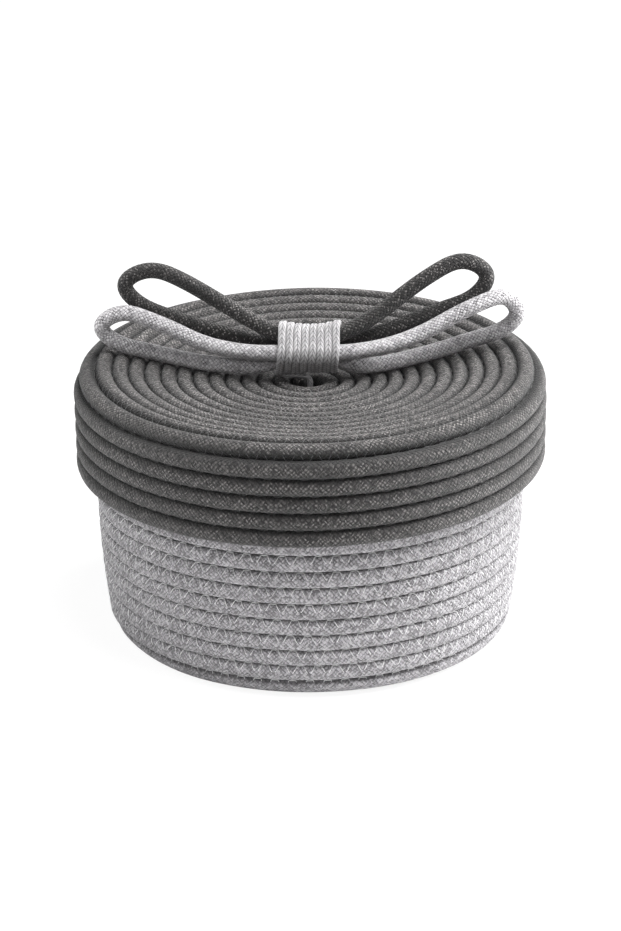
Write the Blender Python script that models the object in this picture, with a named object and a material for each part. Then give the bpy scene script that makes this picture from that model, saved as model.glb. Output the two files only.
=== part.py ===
"""Round lidded knitting basket sewn from coiled cotton rope, with a rope bow on its lid.

The basket's floor and wall are one light rope: it winds outwards from the middle of the
floor and then climbs as a helix. The lid is wound the same way from a darker rope, with a
dished top and a skirt that reaches down outside the wall. A loop of dark rope and a loop of
light rope lie on the dish as a bow, and a thin cord binds them, passes down through the eye
of the lid's spiral and is knotted underneath. Units are metres and +Z is up.
"""
import math

import bmesh
import bpy
import numpy as np
from mathutils import Matrix, Vector

mm = 0.001

# The rope that everything is wound from, and the thin cord round the bow.
rope_diameter = 7.3 * mm
cord_diameter = 2.7 * mm
seat_gap = 0.3 * mm
cord_gap = 0.45 * mm

# The basket, measured to the middle of its rope.
basket_row_pitch = 8.2 * mm
foot_radius = 95.8 * mm
rim_radius = 101.9 * mm
flare_height = 75.0 * mm
wall_height = 122.7 * mm
foot_fillet = 9.0 * mm
floor_eye = 0.4 * mm
foot_flat_share = 0.1
basket_start_angle = math.radians(277)

# The lid, measured to the middle of its rope. It lies a little askew on the rim.
lid_top_pitch = 7.95 * mm
lid_skirt_pitch = 8.5 * mm
skirt_clearance = 2.5 * mm
skirt_height = 45.0 * mm
shoulder_fillet = 9.0 * mm
dish_depth = 10.5 * mm
lid_start_angle = math.radians(165)
lid_lean = math.radians(1.9)
lid_high_side = math.radians(77)

# The bow: four strands of rope in the binding, and turns of thin cord round them.
strand_gap = 0.45 * mm
butt_gap = 0.5 * mm
strand_reach = 8.0 * mm
binding_turns = 7.5
binding_pitch = 3.75 * mm
saddle_rise = 2.0 * mm
corner_lean = math.radians(36)
knot_turns = 2.25

# Points of the wound forms.
loop_steps = 24
knot_turn_steps = 12
bend_steps = 5
bow_steps = 58
least_allowed_gap = 0.4 * mm

rope_radius = rope_diameter / 2
cord_radius = cord_diameter / 2
floor_level = rope_radius - foot_flat_share * rope_diameter
wall_top_level = floor_level + wall_height

light_grey = (0.46, 0.46, 0.47, 1.0)
dark_grey = (0.105, 0.102, 0.1, 1.0)
binding_grey = (0.6, 0.6, 0.61, 1.0)
cloth_roughness = 0.92


def clear_scene():
    for old in list(bpy.data.objects):
        bpy.data.objects.remove(old, do_unlink=True)


def fabric(name, color):
    material = bpy.data.materials.new(name)
    material.use_nodes = True
    shader = material.node_tree.nodes["Principled BSDF"]
    shader.inputs["Base Color"].default_value = color
    shader.inputs["Roughness"].default_value = cloth_roughness
    shader.inputs["Metallic"].default_value = 0.0
    material.diffuse_color = color
    return material


def sampled(path, start, end, steps):
    """Points of a curve given as a function of one number."""
    return [path(start + (end - start) * k / steps) for k in range(steps + 1)]


class Meridian:
    """A half section, as radius and height against the distance along it."""

    def __init__(self, corners):
        self.corners = np.array(corners)
        runs = np.hypot(*np.diff(self.corners, axis=0).T)
        self.distance = np.concatenate([[0.0], np.cumsum(runs)])

    def at(self, distance):
        radius = np.interp(distance, self.distance, self.corners[:, 0])
        height = np.interp(distance, self.distance, self.corners[:, 1])
        return np.array([radius, height])

    def step(self, distance, pitch):
        """The distance at which the section lies one pitch away, straight across."""
        here = self.at(distance)
        near, far = distance, distance + 2 * pitch
        for _ in range(40):
            middle = (near + far) / 2
            if np.hypot(*(self.at(middle) - here)) < pitch:
                near = middle
            else:
                far = middle
        return far


def fillet_arc(center, radius, start, end, steps=12):
    return sampled(lambda a: (center[0] + radius * math.cos(a), center[1] + radius * math.sin(a)),
                   start, end, steps)


def basket_section():
    """Floor, rounded foot, and a wall that flares until flare_height and then stands upright."""
    def wall_radius(height):
        rise = min(1.0, height / flare_height)
        return rim_radius - (rim_radius - foot_radius) * (1 - rise) ** 2

    center = (wall_radius(foot_fillet) - foot_fillet, floor_level + foot_fillet)
    section = [(0.0, floor_level)]
    section += fillet_arc(center, foot_fillet, -math.pi / 2, 0.0)
    wall_end = wall_height + basket_row_pitch
    section += sampled(lambda h: (wall_radius(h), floor_level + h), foot_fillet, wall_end, 24)[1:]
    return Meridian(section)


def skirt_radius():
    return rim_radius + rope_diameter + skirt_clearance


def dish_edge_radius():
    return skirt_radius() - shoulder_fillet


def dish_height(radius):
    """Height of the rope's middle over the lid's top, from its highest row."""
    share = min(1.0, radius / dish_edge_radius())
    return -dish_depth * (1 - share ** 2)


def lid_section():
    """Dished top from the middle outwards, rounded shoulder and upright skirt."""
    edge = dish_edge_radius()
    center = (edge, -shoulder_fillet)
    section = sampled(lambda r: (r, dish_height(r)), 0.0, edge, 24)
    section += fillet_arc(center, shoulder_fillet, math.pi / 2, 0.0)[1:]
    section.append((skirt_radius(), -skirt_height - lid_skirt_pitch))
    return Meridian(section)


def coil_route(section, eye_radius, pitch_at, end_reached, start_angle, turn):
    """Middle line of a rope that winds outwards along a section, row beside row.

    turn is 1 where it winds anticlockwise seen from above, and -1 where it winds clockwise.
    """
    first_radius = math.hypot(eye_radius + rope_radius, rope_radius)
    distances = []
    while True:
        k = len(distances)
        if k < loop_steps:
            distances.append(first_radius + pitch_at(first_radius) * k / loop_steps)
        else:
            before = distances[k - loop_steps]
            distances.append(section.step(before, pitch_at(before)))
        if end_reached(section.at(distances[-1]), distances[-1]):
            break
    route = []
    for k, distance in enumerate(distances):
        radius, height = section.at(distance)
        angle = start_angle + turn * math.tau * k / loop_steps
        route.append(Vector((radius * math.cos(angle), radius * math.sin(angle), height)))
    return route


def straight_start(route):
    """A route whose first stretch is at least as long as the rope is thick."""
    clear = first_index(route, lambda p: (p - route[0]).length >= rope_diameter)
    return [route[0], *route[clear:]]


def smooth_route(points, count):
    """A Catmull-Rom curve through hand placed points, closer where it bends tightly."""
    points = [Vector(p) for p in points]
    ends = [points[0] * 2 - points[1], *points, points[-1] * 2 - points[-2]]
    fine = []
    for k in range(len(points) - 1):
        a, b, c, d = ends[k:k + 4]
        for j in range(24):
            t = j / 24
            fine.append(0.5 * (2 * b + (c - a) * t + (2 * a - 5 * b + 4 * c - d) * t * t
                               + (3 * b - a - 3 * c + d) * t ** 3))
    fine.append(points[-1])
    line = np.array(fine)
    runs = np.linalg.norm(np.diff(line, axis=0), axis=1)
    headings = np.diff(line, axis=0) / runs[:, None]
    bends = np.concatenate([[0.0], np.arccos(np.clip((headings[1:] * headings[:-1]).sum(1), -1, 1))])
    weight = np.concatenate([[0.0], np.cumsum(runs / runs.sum() + bends / bends.sum())])
    places = np.linspace(0.0, weight[-1], count)
    return [Vector([np.interp(w, weight, line[:, axis]) for axis in range(3)]) for w in places]


def dense_line(route):
    """A route's corners with three points more on each stretch."""
    line = np.array(route)
    pieces = [line[:-1] + (line[1:] - line[:-1]) * share for share in (0.0, 0.25, 0.5, 0.75)]
    return np.stack(pieces, axis=1).reshape(-1, 3)


def least_gap(route, diameter, ends_meet):
    """Least clear distance between stretches of one route that aren't neighbours along it.

    Where the two ends meet in a butt joint, the stretches beside the joint are neighbours too.
    """
    dense = dense_line(route)
    along = np.concatenate([[0.0], np.cumsum(np.linalg.norm(np.diff(dense, axis=0), axis=1))])
    least = math.inf
    for k in range(len(dense)):
        run = along - along[k]
        if ends_meet:
            run = np.minimum(run, along[-1] - run)
        apart = run > 2.2 * diameter
        if apart.any():
            least = min(least, float(np.linalg.norm(dense[apart] - dense[k], axis=1).min()))
    return least - diameter


def rope_object(name, route, diameter, material, ends_meet=False, tilt=None):
    """One unbroken tube of six sides along a route, with closed ends."""
    gap = least_gap(route, diameter, ends_meet)
    print(f"{name}: {len(route)} points, least gap to itself {gap / mm:.2f} mm")
    if gap < least_allowed_gap:
        print(f"{name}: its turns lie closer than they should")
    curve = bpy.data.curves.new(name, "CURVE")
    curve.dimensions = "3D"
    curve.bevel_depth = diameter / 2
    curve.bevel_resolution = 1
    curve.use_fill_caps = True
    curve.twist_mode = "MINIMUM" if tilt is None else "Z_UP"
    spline = curve.splines.new("POLY")
    spline.points.add(len(route) - 1)
    for point, place in zip(spline.points, route):
        point.co = (*place, 1.0)
        point.tilt = tilt or 0.0
    rope = bpy.data.objects.new(name, curve)
    bpy.context.collection.objects.link(rope)
    curve.materials.append(material)
    return rope


def level_coil(name, route, material):
    """A coil whose rows lie side by side: its six sides have corners towards the next row."""
    return rope_object(name, straight_start(route), rope_diameter, material, tilt=0.0)


def upright_coil(name, route, material):
    """A coil whose rows lie one above another, with corners of its six sides up and down."""
    return rope_object(name, route, rope_diameter, material, tilt=math.pi / 6)


def cut_level(rope, level, reach):
    """Takes away what lies below a level, so that the rope stands on a flat."""
    mesh = bpy.data.meshes.new_from_object(rope)
    name = rope.name
    bpy.data.objects.remove(rope, do_unlink=True)
    standing = bpy.data.objects.new(name, mesh)
    bpy.context.collection.objects.link(standing)
    cutter_mesh = bpy.data.meshes.new(name + "_foot_cutter")
    shape = bmesh.new()
    bmesh.ops.create_cube(shape, size=1.0)
    bmesh.ops.scale(shape, verts=shape.verts, vec=(2 * reach, 2 * reach, rope_diameter))
    bmesh.ops.translate(shape, verts=shape.verts, vec=(0.0, 0.0, level - rope_radius))
    shape.to_mesh(cutter_mesh)
    shape.free()
    cutter = bpy.data.objects.new(name + "_foot_cutter", cutter_mesh)
    bpy.context.collection.objects.link(cutter)
    cutter.hide_render = True
    cutter.display_type = "WIRE"
    cut = standing.modifiers.new("flat_foot", "BOOLEAN")
    cut.operation = "DIFFERENCE"
    cut.solver = "EXACT"
    cut.object = cutter


def split_route(route, joint_index):
    """Two routes with a butt joint between them, halfway along one straight stretch."""
    before, after = route[joint_index], route[joint_index + 1]
    middle, heading = (before + after) / 2, (after - before).normalized()
    first = [*route[:joint_index + 1], middle - heading * butt_gap / 2]
    second = [middle + heading * butt_gap / 2, *route[joint_index + 1:]]
    return first, second


def first_index(route, test):
    return next(k for k, point in enumerate(route) if test(point))


def basket_route():
    def at_rim(place, distance):
        return place[1] >= wall_top_level

    return coil_route(basket_section(), floor_eye, lambda s: basket_row_pitch, at_rim,
                      basket_start_angle, 1)


def lid_route():
    section = lid_section()

    def row_pitch(distance):
        share = (section.at(distance)[0] - dish_edge_radius()) / shoulder_fillet
        blend = min(1.0, max(0.0, share))
        return lid_top_pitch + (lid_skirt_pitch - lid_top_pitch) * blend

    def at_hem(place, distance):
        return place[1] <= -skirt_height

    return coil_route(section, cord_radius + cord_gap, row_pitch, at_hem, lid_start_angle, -1)


def lean():
    """The lid's turn about a level axis square to the direction of its high side."""
    axis = (math.sin(lid_high_side), -math.cos(lid_high_side), 0.0)
    return Matrix.Rotation(lid_lean, 3, axis)


def leaned(point):
    """Where the lean takes a point of the lid. The middle of the skirt stays in place."""
    middle = Vector((0.0, 0.0, -skirt_height / 2))
    return lean() @ (point - middle) + middle


def rest_height(lower, upper):
    """How far the upper rope must be raised to lie on the lower one, a seat gap clear of it."""
    lower, upper = dense_line(lower), dense_line(upper)
    reach = rope_diameter + seat_gap
    height = -math.inf
    for place in upper:
        apart = np.hypot(*(lower[:, :2] - place[:2]).T)
        near = apart < reach
        if near.any():
            rise = np.sqrt(reach ** 2 - apart[near] ** 2)
            height = max(height, float((lower[near, 2] + rise - place[2]).max()))
    return height


def build_basket(route, material):
    foot = first_index(route, lambda p: p.z > rope_radius)
    floor_part, wall_part = split_route(route, foot)
    floor = level_coil("floor_coil", floor_part, material)
    upright_coil("wall_coil", wall_part, material)
    cut_level(floor, 0.0, 2 * rim_radius)


def build_lid(route, material):
    edge = first_index(route, lambda p: math.hypot(p.x, p.y) > dish_edge_radius())
    top_part, skirt_part = split_route(route, edge)
    return (level_coil("lid_top_coil", top_part, material),
            upright_coil("lid_skirt_coil", skirt_part, material))


def strand_offset():
    """Half the diagonal of the square on which the four strands lie in the binding."""
    return (rope_diameter + strand_gap) / math.sqrt(2)


def wrap_radius():
    """Radius of a turn of thin cord round the middle of a corner strand."""
    return (rope_radius + seat_gap + cord_radius) / math.cos(corner_lean / 2)


def binding_depth():
    """How far the thin cord's run below the binding lies under the bow's middle."""
    return strand_offset() + wrap_radius() + cord_diameter + cord_gap


def bow_level():
    """Height of the middle of the binding, whose thin cord lies on the middle of the dish."""
    return dish_height(0.0) + rope_radius + seat_gap + cord_radius + binding_depth()


# The free loops of the bow, from one end of the binding round to the same end again.
# Millimetres about the middle of the binding: right is +X, back is +Y.
dark_right_loop = [
    (15.5, 5.7, 0.2), (25.0, 7.1, 2.6), (41.0, 9.0, 6.9), (57.0, 12.0, 12.6),
    (70.0, 14.2, 16.6), (80.5, 15.6, 21.3), (86.4, 15.8, 31.2), (76.5, 14.8, 39.1),
    (61.8, 12.0, 35.2), (49.0, 8.8, 27.3), (34.0, 4.8, 16.9), (22.5, 1.4, 10.7), (15.5, 0.1, 7.9),
]
dark_left_loop = [
    (-15.5, 0.1, 7.9), (-24.5, 1.9, 11.7), (-38.2, 6.0, 18.7), (-53.8, 10.0, 27.3),
    (-66.0, 12.4, 33.4), (-79.8, 14.4, 35.6), (-90.2, 15.6, 28.0), (-84.0, 15.9, 18.6),
    (-71.0, 14.0, 12.8), (-55.6, 11.4, 8.2), (-38.4, 8.6, 4.0), (-25.0, 6.9, 1.4),
    (-15.5, 5.7, 0.1),
]
light_right_loop = [
    (14.5, -0.1, -5.8), (23.5, 0.6, -8.8), (34.0, 4.6, -10.2), (49.0, 10.2, -9.0),
    (65.0, 15.4, -6.4), (80.5, 18.5, -2.6), (93.0, 18.6, 1.6), (101.6, 16.4, 11.6),
    (95.4, 12.9, 21.2), (84.8, 8.8, 20.4), (72.3, 5.4, 15.6), (56.7, 1.8, 8.2),
    (41.0, -2.2, 3.2), (25.5, -5.0, 0.8), (15.5, -5.7, 0.1),
]
light_left_loop = [
    (-15.5, -5.7, 0.0), (-25.5, -5.1, -0.1), (-38.3, -2.2, 0.4), (-55.4, 2.0, 3.9),
    (-67.8, 5.0, 9.1), (-80.4, 7.9, 13.5), (-93.3, 11.0, 14.7), (-102.2, 13.0, 7.2),
    (-94.5, 13.5, -1.2), (-82.3, 12.0, -4.6), (-66.5, 8.6, -7.1), (-50.8, 4.6, -8.9),
    (-35.1, 0.8, -9.4), (-24.0, -0.6, -8.4), (-14.5, -0.1, -5.8),
]


def saddle_lift(x):
    """How much higher the top strand lies towards the ends of the binding than in its middle."""
    half_length = binding_turns * binding_pitch / 2
    return saddle_rise * (x / half_length) ** 2


def strand(corner, start, end):
    """A stretch in the binding, at one corner of the square of strands."""
    y, z = Vector(corner) * strand_offset()
    is_top = corner[1] > 0
    return [Vector((x, y, z + saddle_lift(x) * is_top)) for x in (start, (start + end) / 2, end)]


def bow_route(joint_corner, middle_corner, right_loop, left_loop):
    """A bow rope's middle line, from its butt joint round both loops and back to the joint.

    The joint lies in the middle of the binding. A corner gives the strand's side and height.
    """
    points = strand(joint_corner, butt_gap / 2, strand_reach)
    points += [Vector(p) * mm for p in right_loop]
    points += strand(middle_corner, strand_reach, -strand_reach)
    points += [Vector(p) * mm for p in left_loop]
    points += strand(joint_corner, -strand_reach, -butt_gap / 2)
    lift = Vector((0.0, 0.0, bow_level()))
    return smooth_route([point + lift for point in points], bow_steps)


# The cord's end leaves the last turn, runs back under the turns and bends down into the lid's
# eye. Millimetres about the middle of the binding, with heights from the run's own level.
tail_points = [
    (-15.2, -4.2, 4.2), (-15.3, -1.2, 2.0), (-14.5, 0.9, 0.5), (-12.6, 1.5, 0.0),
    (-9.5, 1.3, 0.0), (-6.0, 0.6, 0.0), (-3.6, 0.2, 0.0), (-1.6, 0.0, -0.4),
    (-0.4, 0.0, -1.6), (0.0, 0.0, -3.4),
]


def binding_turns_route():
    """Turns of thin cord round the four strands, from the right end of the binding."""
    offset, radius = strand_offset(), wrap_radius()
    quarter_count = round(4 * binding_turns)
    quarter_run = binding_pitch / 4
    route = []
    for quarter in range(quarter_count + 1):
        heading = quarter * math.pi / 2
        for lean in (-corner_lean, 0.0, corner_lean):
            angle = heading + lean
            x = quarter_run * (quarter_count / 2 - angle / (math.pi / 2))
            y = offset * math.cos(heading) + radius * math.cos(angle)
            z = offset * math.sin(heading) + radius * math.sin(angle)
            is_top = quarter % 4 == 1
            route.append(Vector((x, y, bow_level() + z + saddle_lift(x) * is_top)))
    return route


def knot_route():
    """The cord straight down through the eye, back up in a U and wound round itself."""
    pitch = cord_diameter + cord_gap
    step = math.tau / knot_turn_steps
    radius = pitch / math.cos(step / 2)
    bend = radius / 2
    top = dish_height(0.0) - rope_radius - seat_gap - cord_radius
    coil_bottom = top - knot_turns * pitch
    low = coil_bottom - bend
    route = [Vector((0.0, 0.0, top)), Vector((0.0, 0.0, low))]
    for angle in sampled(lambda a: a, math.pi, math.tau, bend_steps)[1:]:
        x, z = bend + bend * math.cos(angle), low + bend * math.sin(angle)
        route.append(Vector((x, 0.0, z)))
    for k in range(1, round(knot_turns * knot_turn_steps) + 1):
        start_share = max(0.0, 1 - k / 2)
        height = coil_bottom + pitch * k / knot_turn_steps - bend * start_share
        angle = k * step
        route.append(Vector((radius * math.cos(angle), radius * math.sin(angle), height)))
    heading = (route[-1] - route[-2]).normalized()
    route.append(route[-1] + heading * cord_diameter)
    return route


def binding_route():
    """Turns round the four strands, a run below them to the lid's eye, and the knot."""
    run_level = bow_level() - binding_depth()
    tail = [Vector(p) * mm + Vector((0.0, 0.0, run_level)) for p in tail_points]
    return binding_turns_route() + tail + knot_route()


def build_bow(dark, light, binding):
    behind, above, before, below = (1.0, 0.0), (0.0, 1.0), (-1.0, 0.0), (0.0, -1.0)
    dark_route = bow_route(behind, above, dark_right_loop, dark_left_loop)
    light_route = bow_route(below, before, light_right_loop, light_left_loop)
    return (rope_object("bow_dark_rope", dark_route, rope_diameter, dark, ends_meet=True),
            rope_object("bow_light_rope", light_route, rope_diameter, light, ends_meet=True),
            rope_object("bow_binding_cord", binding_route(), cord_diameter, binding))


def main():
    clear_scene()
    light = fabric("light_rope", light_grey)
    dark = fabric("dark_rope", dark_grey)
    binding = fabric("binding_cord", binding_grey)
    basket_line, lid_line = basket_route(), lid_route()
    build_basket(basket_line, light)
    lid = bpy.data.objects.new("lid", None)
    bpy.context.collection.objects.link(lid)
    lid.rotation_euler = lean().to_euler()
    lid.location = leaned(Vector())
    lid.location.z += rest_height(basket_line, [leaned(point) for point in lid_line])
    for piece in (*build_lid(lid_line, dark), *build_bow(dark, light, binding)):
        piece.parent = lid


main()
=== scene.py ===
import math

import bpy
import numpy as np
from mathutils import Matrix, Vector


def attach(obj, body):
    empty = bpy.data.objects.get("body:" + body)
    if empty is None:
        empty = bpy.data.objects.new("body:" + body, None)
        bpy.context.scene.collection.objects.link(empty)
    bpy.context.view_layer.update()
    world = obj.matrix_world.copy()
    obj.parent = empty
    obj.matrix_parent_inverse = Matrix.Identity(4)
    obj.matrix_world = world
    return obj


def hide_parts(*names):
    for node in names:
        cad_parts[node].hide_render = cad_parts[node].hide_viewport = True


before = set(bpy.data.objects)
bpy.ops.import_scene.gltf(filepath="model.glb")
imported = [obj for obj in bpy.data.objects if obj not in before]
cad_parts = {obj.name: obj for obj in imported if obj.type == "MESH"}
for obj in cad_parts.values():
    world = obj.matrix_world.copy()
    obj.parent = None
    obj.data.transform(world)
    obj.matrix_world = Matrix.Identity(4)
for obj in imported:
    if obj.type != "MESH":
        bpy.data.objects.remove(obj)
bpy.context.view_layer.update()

mm = 0.001


# A socket that takes part in sums and products as a number does.
class Field:
    def __init__(self, tree, socket):
        self.tree = tree
        self.socket = socket

    def math(self, operation, *others):
        return self.tree.math(operation, self, *others)

    def clamped(self, low, high):
        return self.math("MINIMUM", high).math("MAXIMUM", low)

    def __add__(self, other):
        return self.tree.math("ADD", self, other)

    def __radd__(self, other):
        return self.tree.math("ADD", other, self)

    def __sub__(self, other):
        return self.tree.math("SUBTRACT", self, other)

    def __rsub__(self, other):
        return self.tree.math("SUBTRACT", other, self)

    def __mul__(self, other):
        return self.tree.math("MULTIPLY", self, other)

    def __rmul__(self, other):
        return self.tree.math("MULTIPLY", other, self)

    def __truediv__(self, other):
        return self.tree.math("DIVIDE", self, other)

    def __rtruediv__(self, other):
        return self.tree.math("DIVIDE", other, self)

    def __mod__(self, other):
        return self.tree.math("FLOORED_MODULO", self, other)

    def __rmod__(self, other):
        return self.tree.math("FLOORED_MODULO", other, self)

    def __pow__(self, other):
        return self.tree.math("POWER", self, other)

    def __rpow__(self, other):
        return self.tree.math("POWER", other, self)


class NodeTree:
    def __init__(self, tree):
        self.tree = tree

    def add(self, kind, settings=None, values=None):
        node = self.tree.nodes.new(kind)
        for name, value in (settings or {}).items():
            setattr(node, name, value)
        for name, value in (values or {}).items():
            self.put(node.inputs[name], value)
        return node

    def put(self, socket, value):
        if isinstance(value, Field):
            self.tree.links.new(value.socket, socket)
        else:
            socket.default_value = value

    def field(self, kind, settings=None, values=None, output=0):
        return Field(self, self.add(kind, settings, values).outputs[output])

    def math(self, operation, *values):
        return self.field("ShaderNodeMath", {"operation": operation}, dict(enumerate(values)))

    def vectorMath(self, operation, *values, output=0):
        return self.field("ShaderNodeVectorMath", {"operation": operation},
                          dict(enumerate(values)), output)

    def scaled(self, vector, factor):
        return self.field("ShaderNodeVectorMath", {"operation": "SCALE"},
                          {0: vector, "Scale": factor})

    def vector(self, x=0.0, y=0.0, z=0.0):
        return self.field("ShaderNodeCombineXYZ", None, {0: x, 1: y, 2: z})

    def parts(self, vector):
        return [Field(self, socket)
                for socket in self.add("ShaderNodeSeparateXYZ", None, {0: vector}).outputs]

    def mixFloat(self, factor, a, b):
        return self.field("ShaderNodeMix", {"data_type": "FLOAT"}, {0: factor, 2: a, 3: b})

    def mixColor(self, factor, a, b):
        return self.field("ShaderNodeMix", {"data_type": "RGBA"}, {0: factor, 6: a, 7: b}, 2)

    def smooth(self, value, low, high, start=0.0, end=1.0):
        return self.field("ShaderNodeMapRange", {"interpolation_type": "SMOOTHSTEP"},
                          {0: value, 1: low, 2: high, 3: start, 4: end})

    def noise(self, place, scale, detail, roughness=0.5, output=0):
        return self.field("ShaderNodeTexNoise", None, {
            "Vector": place, "Scale": scale, "Detail": detail, "Roughness": roughness}, output)

    # The same level, from 0 to 1, wherever the number is the same.
    def randomLevel(self, number):
        return self.field("ShaderNodeTexWhiteNoise", {"noise_dimensions": "1D"}, {"W": number})


def grey(level):
    return (level, level, level, 1.0)


def newMaterial(name):
    material = bpy.data.materials.new(name)
    material.use_nodes = True
    material.node_tree.nodes.clear()
    return material, NodeTree(material.node_tree)


# The camera stands where the photograph was taken from.
cameraSettings = dict(
    distance=1400 * mm, elevation=math.radians(21.2), aim=80 * mm, lens=109.2, sensor=36,
    nearest=0.05, farthest=20,
)


def placeCamera(settings):
    data = bpy.data.cameras.new("camera")
    data.lens = settings["lens"]
    data.sensor_width = settings["sensor"]
    data.clip_start = settings["nearest"]
    data.clip_end = settings["farthest"]
    camera = bpy.data.objects.new("camera", data)
    bpy.context.collection.objects.link(camera)
    distance, elevation = settings["distance"], settings["elevation"]
    camera.location = (0, -distance * math.cos(elevation),
                       settings["aim"] + distance * math.sin(elevation))
    camera.rotation_euler = (math.pi / 2 - elevation, 0, 0)
    bpy.context.scene.camera = camera


placeCamera(cameraSettings)
print("camera placed")

# White floor and surroundings, and large soft lamps: the strongest at the right, the next one
# above, and weaker ones at the left and in front.
studioSettings = dict(
    ambient=0.09, floorSize=6.0, floorTone=0.9, floorGlow=1.06, floorShare=0.85, lampAim=80 * mm,
    lamps=[
        dict(name="lampRight", place=(1.5, 0.35, 0.85), size=1.0, power=61),
        dict(name="lampTop", place=(0.45, -0.33, 1.65), size=1.1, power=43),
        dict(name="lampLeft", place=(-1.5, 0.2, 0.8), size=1.2, power=19),
        dict(name="lampFront", place=(-0.2, -1.7, 1.1), size=1.0, power=8),
    ],
)


def buildSurroundings(settings):
    world = bpy.data.worlds.new("studio")
    bpy.context.scene.world = world
    world.use_nodes = True
    world.node_tree.nodes.clear()
    tree = NodeTree(world.node_tree)
    seen = tree.field("ShaderNodeLightPath", None, None, "Is Camera Ray")
    strength = tree.mixFloat(seen, settings["ambient"], 1.0)
    background = tree.field("ShaderNodeBackground", None, {0: grey(1.0), 1: strength})
    tree.add("ShaderNodeOutputWorld", None, {0: background})


def layFloor(settings):
    half = settings["floorSize"] / 2
    mesh = bpy.data.meshes.new("floor")
    corners = [(-half, -half, 0), (half, -half, 0), (half, half, 0), (-half, half, 0)]
    mesh.from_pydata(corners, [], [(0, 1, 2, 3)])
    floor = bpy.data.objects.new("floor", mesh)
    bpy.context.collection.objects.link(floor)
    material, tree = newMaterial("whiteFloor")
    seen = tree.field("ShaderNodeLightPath", None, None, "Is Camera Ray") * settings["floorShare"]
    matt = tree.field("ShaderNodeBsdfDiffuse", None, {0: grey(settings["floorTone"])})
    glow = tree.field("ShaderNodeEmission", None, {0: grey(1.0), 1: settings["floorGlow"]})
    mixed = tree.field("ShaderNodeMixShader", None, {0: seen, 1: matt, 2: glow})
    tree.add("ShaderNodeOutputMaterial", None, {0: mixed})
    mesh.materials.append(material)


def hangLamps(settings):
    for lamp in settings["lamps"]:
        data = bpy.data.lights.new(lamp["name"], "AREA")
        data.shape = "DISK"
        data.size = lamp["size"]
        data.energy = lamp["power"]
        holder = bpy.data.objects.new(lamp["name"], data)
        bpy.context.collection.objects.link(holder)
        holder.location = lamp["place"]
        aim = Vector((0, 0, settings["lampAim"])) - Vector(lamp["place"])
        holder.rotation_euler = aim.to_track_quat("-Z", "Y").to_euler()


buildSurroundings(studioSettings)
layFloor(studioSettings)
hangLamps(studioSettings)
print("studio built")


# Half of a section through the basket or the lid: radius and height against the distance along it.
class Section:
    def __init__(self, corners):
        self.corners = np.array(corners)
        runs = np.hypot(*np.diff(self.corners, axis=0).T)
        self.distance = np.concatenate([[0.0], np.cumsum(runs)])

    def at(self, distance):
        return np.array([np.interp(distance, self.distance, self.corners[:, axis])
                         for axis in (0, 1)])

    # The place further on that lies a pitch away from this one, found by halving.
    def nextRow(self, distance, pitch, halvings=22):
        here, near, far = self.at(distance), distance, distance + 2 * pitch
        for _ in range(halvings):
            middle = (near + far) / 2
            if np.hypot(*(self.at(middle) - here)) < pitch:
                near = middle
            else:
                far = middle
        return far


def arc(center, radius, start, end, steps=24):
    turns = [start + (end - start) * k / steps for k in range(steps + 1)]
    return [(center[0] + radius * math.cos(a), center[1] + radius * math.sin(a)) for a in turns]


slopeReach = 2 * mm  # the rows' tilt is read over this distance to each side


# Rows wound along a section, as the frame's coils are but in finer steps. turn is 1 for
# anticlockwise from above, and outside is 1 where the outer face is on the section's right.
def windRows(section, firstDistance, pitchAt, ended, startAngle, turn, outside, steps=96):
    distances = []
    while not distances or not ended(section.at(distances[-1])):
        k = len(distances)
        if k < steps:
            distances.append(firstDistance + pitchAt(firstDistance) * k / steps)
        else:
            before = distances[k - steps]
            distances.append(section.nextRow(before, pitchAt(before)))
    distances = np.array(distances)
    radius, height = section.at(distances)
    ahead = section.at(distances + slopeReach)
    behind = section.at(np.maximum(0, distances - slopeReach))
    slope = np.arctan2(ahead[1] - behind[1], ahead[0] - behind[0])
    angle = startAngle + turn * math.tau * np.arange(len(distances)) / steps
    radial = np.stack([np.cos(angle), np.sin(angle), np.zeros(len(angle))], axis=1)
    up = np.array([0, 0, 1.0])
    places = radial * radius[:, None] + up * height[:, None]
    across = radial * np.cos(slope)[:, None] + up * np.sin(slope)[:, None]
    outward = (radial * np.sin(slope)[:, None] - up * np.cos(slope)[:, None]) * outside
    return dict(places=places, across=across, outward=outward, steps=steps, distances=distances)


def runsOf(places):
    return np.linalg.norm(np.diff(places, axis=0), axis=1)


# How far along the rope its last turn begins, which has no row beyond it and so no groove and
# no painted groove shade.
def lastTurn(rows):
    return float(runsOf(rows["places"])[:-rows["steps"]].sum())


# The line of the groove between each row and the next.
def grooveOf(rows):
    steps = rows["steps"]
    both = {key: (rows[key][:-steps] + rows[key][steps:]) / 2
            for key in ("places", "across", "outward")}
    for key in ("across", "outward"):
        both[key] /= np.linalg.norm(both[key], axis=1)[:, None]
    return both


# The same groove on the rows' inner face.
def insideOf(groove):
    return dict(groove, outward=-groove["outward"])


basketSettings = dict(
    pitch=8.2 * mm, footRadius=95.8 * mm, rimRadius=101.9 * mm, flareHeight=75 * mm,
    wallHeight=122.7 * mm, footFillet=9 * mm, ropeRadius=3.65 * mm, floorLevel=2.92 * mm,
    eye=0.4 * mm, startAngle=math.radians(277), profileSteps=40,
)


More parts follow.
